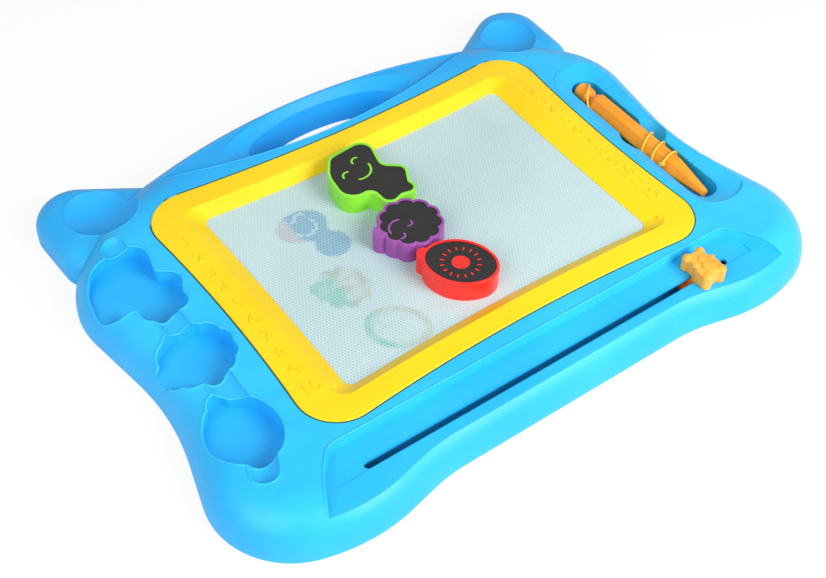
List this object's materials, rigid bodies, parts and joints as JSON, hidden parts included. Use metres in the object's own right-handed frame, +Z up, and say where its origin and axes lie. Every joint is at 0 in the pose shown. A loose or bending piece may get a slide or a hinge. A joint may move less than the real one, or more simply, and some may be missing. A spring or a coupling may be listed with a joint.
{
  "type": "magnetic drawing board",
  "caption": "Magnetic drawing board with a celled screen, cat-ear corners, carry handle, wipe slider, corded pen and fruit stamps with wells.",
  "frame": {"origin": "on the table plane under the middle of the screen", "axes": "+X from the stamp wells to the pen tray, +Y from the wipe slider to the carrying handle, +Z up out of the screen"},
  "size_m": [0.4062, 0.3003, 0.0342],
  "materials": {
    "shell_plastic": "satin moulded sky blue plastic",
    "cover_plastic": "fine textured blue plastic",
    "bezel_plastic": "satin moulded yellow plastic",
    "screen_film": "clear film over a milky celled sheet",
    "cell_sheet": "milky honeycomb sheet",
    "steel": "zinc plated",
    "magnet": "flexible bonded ferrite magnet",
    "orange_plastic": "glossy moulded orange plastic",
    "bar_plastic": "natural moulded orange plastic",
    "cord": "soft yellow cord",
    "green_plastic": "glossy moulded green plastic",
    "purple_plastic": "glossy moulded purple plastic",
    "red_plastic": "glossy moulded red plastic"
  },
  "bodies": {
    "board": {"top_shell": "shell_plastic", "base_cover": "cover_plastic", "bezel": "bezel_plastic", "bezel_screws": "steel", "base_screws": "steel", "screen_front_film": "screen_film", "screen_cell_core": "cell_sheet", "screen_back_film": "screen_film"},
    "eraser": {"eraser_knob": "orange_plastic", "eraser_bar": "bar_plastic", "eraser_magnet": "magnet", "eraser_screw": "steel"},
    "pen": {"pen_barrel": "orange_plastic", "pen_nose": "orange_plastic", "pen_tail": "orange_plastic", "pen_magnet": "magnet", "pen_cord": "cord"},
    "pear_stamp": {"pear_stamp_shell": "green_plastic", "pear_stamp_face": "magnet", "pear_stamp_lid": "green_plastic"},
    "grape_stamp": {"grape_stamp_shell": "purple_plastic", "grape_stamp_face": "magnet", "grape_stamp_lid": "purple_plastic"},
    "citrus_stamp": {"citrus_stamp_shell": "red_plastic", "citrus_stamp_face": "magnet", "citrus_stamp_lid": "red_plastic"}
  },
  "joints": [
    {"name": "eraser_slide", "type": "slide", "parent": "board", "child": "eraser", "axis": [1, 0, 0], "range_m": [-0.229, 0.012]},
    {"name": "pen_lift", "type": "slide", "parent": "board", "child": "pen", "axis": [0, 0, 1], "range_m": [0, 0.08]},
    {"name": "pear_stamp_lift", "type": "slide", "parent": "board", "child": "pear_stamp", "axis": [0, 0, 1], "range_m": [0, 0.08]},
    {"name": "grape_stamp_lift", "type": "slide", "parent": "board", "child": "grape_stamp", "axis": [0, 0, 1], "range_m": [0, 0.08]},
    {"name": "citrus_stamp_lift", "type": "slide", "parent": "board", "child": "citrus_stamp", "axis": [0, 0, 1], "range_m": [0, 0.08]}
  ]
}
